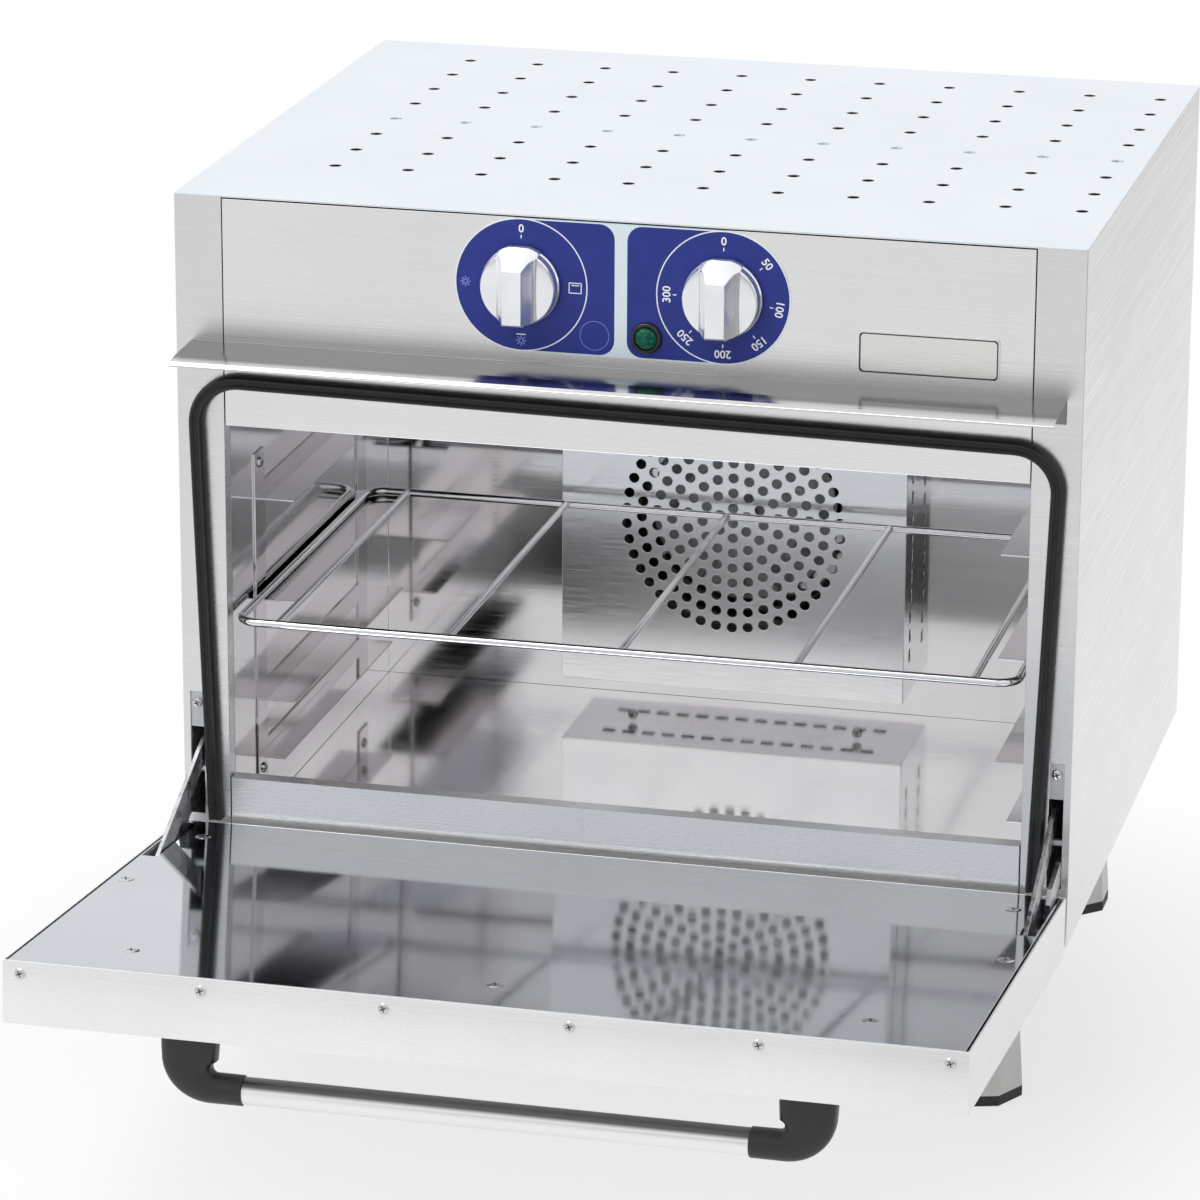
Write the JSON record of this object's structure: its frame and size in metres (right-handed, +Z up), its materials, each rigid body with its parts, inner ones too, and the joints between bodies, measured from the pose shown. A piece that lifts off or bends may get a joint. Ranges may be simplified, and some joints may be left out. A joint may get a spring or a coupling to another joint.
{
  "type": "countertop convection oven",
  "caption": "Free-standing convection oven on legs, with a drop-down door, a sliding wire rack on tray ledges, rotary controls and a fan behind a perforated cover.",
  "frame": {"origin": "on the floor, at the centre of the oven's outline seen from above with its door open", "axes": "+Z up, +Y from the door to the back, +X to the right as seen from the front"},
  "size_m": [0.6, 0.8696, 0.587],
  "materials": {
    "case_steel": "satin stainless sheet with fine vertical grain",
    "bright_steel": "bright-rolled stainless, nearly a mirror",
    "canopy_steel": "bright stainless strip",
    "handle_tube": "satin drawn tube",
    "black_plastic": "fine matt texture",
    "seal_rubber": "matt silicone",
    "foot_rubber": "matt",
    "leg_plastic": "satin moulding",
    "knob_silver": "satin silver lacquer",
    "label_film": "printed film",
    "badge_metal": "satin",
    "lamp_green": "clear green",
    "lamp_black": "gloss",
    "rack_wire": "bright plated wire",
    "zinc_steel": "plain zinc-coated sheet",
    "fastener_steel": "bright",
    "hinge_steel": "plain steel",
    "mineral_wool": "fibrous mat",
    "motor_metal": "plain",
    "fan_metal": "plain",
    "heater_sheath": "dull heated steel"
  },
  "bodies": {
    "root": {"badge_plate": "badge_metal", "base_panel": "zinc_steel", "cable_gland": "black_plastic", "canopy_strip": "canopy_steel", "case_screws": "fastener_steel", "cavity_insulation": "mineral_wool", "cavity_liner": "bright_steel", "control_fascia": "case_steel", "dial_label": "label_film", "door_gasket": "seal_rubber", "fan_cover": "bright_steel", "fan_cover_screws": "fastener_steel", "fan_motor": "motor_metal", "foot_pad_front_left": "foot_rubber", "foot_pad_front_right": "foot_rubber", "foot_pad_rear_left": "foot_rubber", "foot_pad_rear_right": "foot_rubber", "front_sill": "case_steel", "guide_screws": "fastener_steel", "hinge_housing_left": "zinc_steel", "hinge_housing_right": "zinc_steel", "hinge_lug_left": "hinge_steel", "hinge_lug_right": "hinge_steel", "hinge_screws": "fastener_steel", "lamp_bezel": "lamp_black", "lamp_lens": "lamp_green", "leg_front_left": "leg_plastic", "leg_front_right": "leg_plastic", "leg_rear_left": "leg_plastic", "leg_rear_right": "leg_plastic", "rear_panel": "zinc_steel", "ring_heater": "heater_sheath", "roof_panel": "case_steel", "roof_stiffener": "zinc_steel", "selector_switch": "black_plastic", "side_panel_left": "case_steel", "side_panel_right": "case_steel", "thermostat": "black_plastic", "tray_guide_left": "bright_steel", "tray_guide_right": "bright_steel"},
    "door": {"door_outer_pan": "case_steel", "door_inner_panel": "bright_steel", "door_insulation": "mineral_wool", "door_edge_screws": "fastener_steel", "door_panel_screws": "fastener_steel", "handle_tube": "handle_tube", "handle_elbow_left": "black_plastic", "handle_elbow_right": "black_plastic", "door_bracket_left": "zinc_steel", "door_bracket_right": "zinc_steel", "hinge_pins": "hinge_steel"},
    "stay_arm_left": {"stay_arm_left": "hinge_steel"},
    "stay_arm_right": {"stay_arm_right": "hinge_steel"},
    "rack": {"wire_rack": "rack_wire"},
    "selector": {"selector_knob": "knob_silver", "selector_spindle": "hinge_steel"},
    "thermostat_dial": {"thermostat_knob": "knob_silver", "thermostat_spindle": "hinge_steel"},
    "fan": {"fan_impeller": "fan_metal", "fan_shaft": "hinge_steel"}
  },
  "joints": [
    {"name": "door_hinge", "type": "hinge", "parent": "root", "child": "door", "pos_m": [0, -0.09912, 0.1393], "axis": [-1, 0, 0], "range_deg": [0, 84.88]},
    {"name": "stay_left_pivot", "type": "hinge", "parent": "door", "child": "stay_arm_left", "pos_m": [-0.2881, -0.16248, 0.15713], "axis": [-1, 0, 0], "range_deg": [-59.5, 0]},
    {"name": "stay_right_pivot", "type": "hinge", "parent": "door", "child": "stay_arm_right", "pos_m": [0.2881, -0.16248, 0.15713], "axis": [-1, 0, 0], "range_deg": [-59.5, 0]},
    {"name": "rack_slide", "type": "slide", "parent": "root", "child": "rack", "axis": [0, 1, 0], "range_m": [-0.24, 0.008]},
    {"name": "selector_turn", "type": "hinge", "parent": "root", "child": "selector", "pos_m": [-0.06655, -0.07002, 0.5405], "axis": [0, 1, 0], "range_deg": [0, 270]},
    {"name": "thermostat_turn", "type": "hinge", "parent": "root", "child": "thermostat_dial", "pos_m": [0.06655, -0.07002, 0.5405], "axis": [0, 1, 0], "range_deg": [0, 270]},
    {"name": "fan_spin", "type": "hinge", "parent": "root", "child": "fan", "pos_m": [0, 0.31698, 0.286], "axis": [0, 1, 0], "continuous": true}
  ],
  "couplings": [
    {"joint": "stay_left_pivot", "follows": "door_hinge", "ratio": -0.69761},
    {"joint": "stay_right_pivot", "follows": "door_hinge", "ratio": -0.69761}
  ]
}
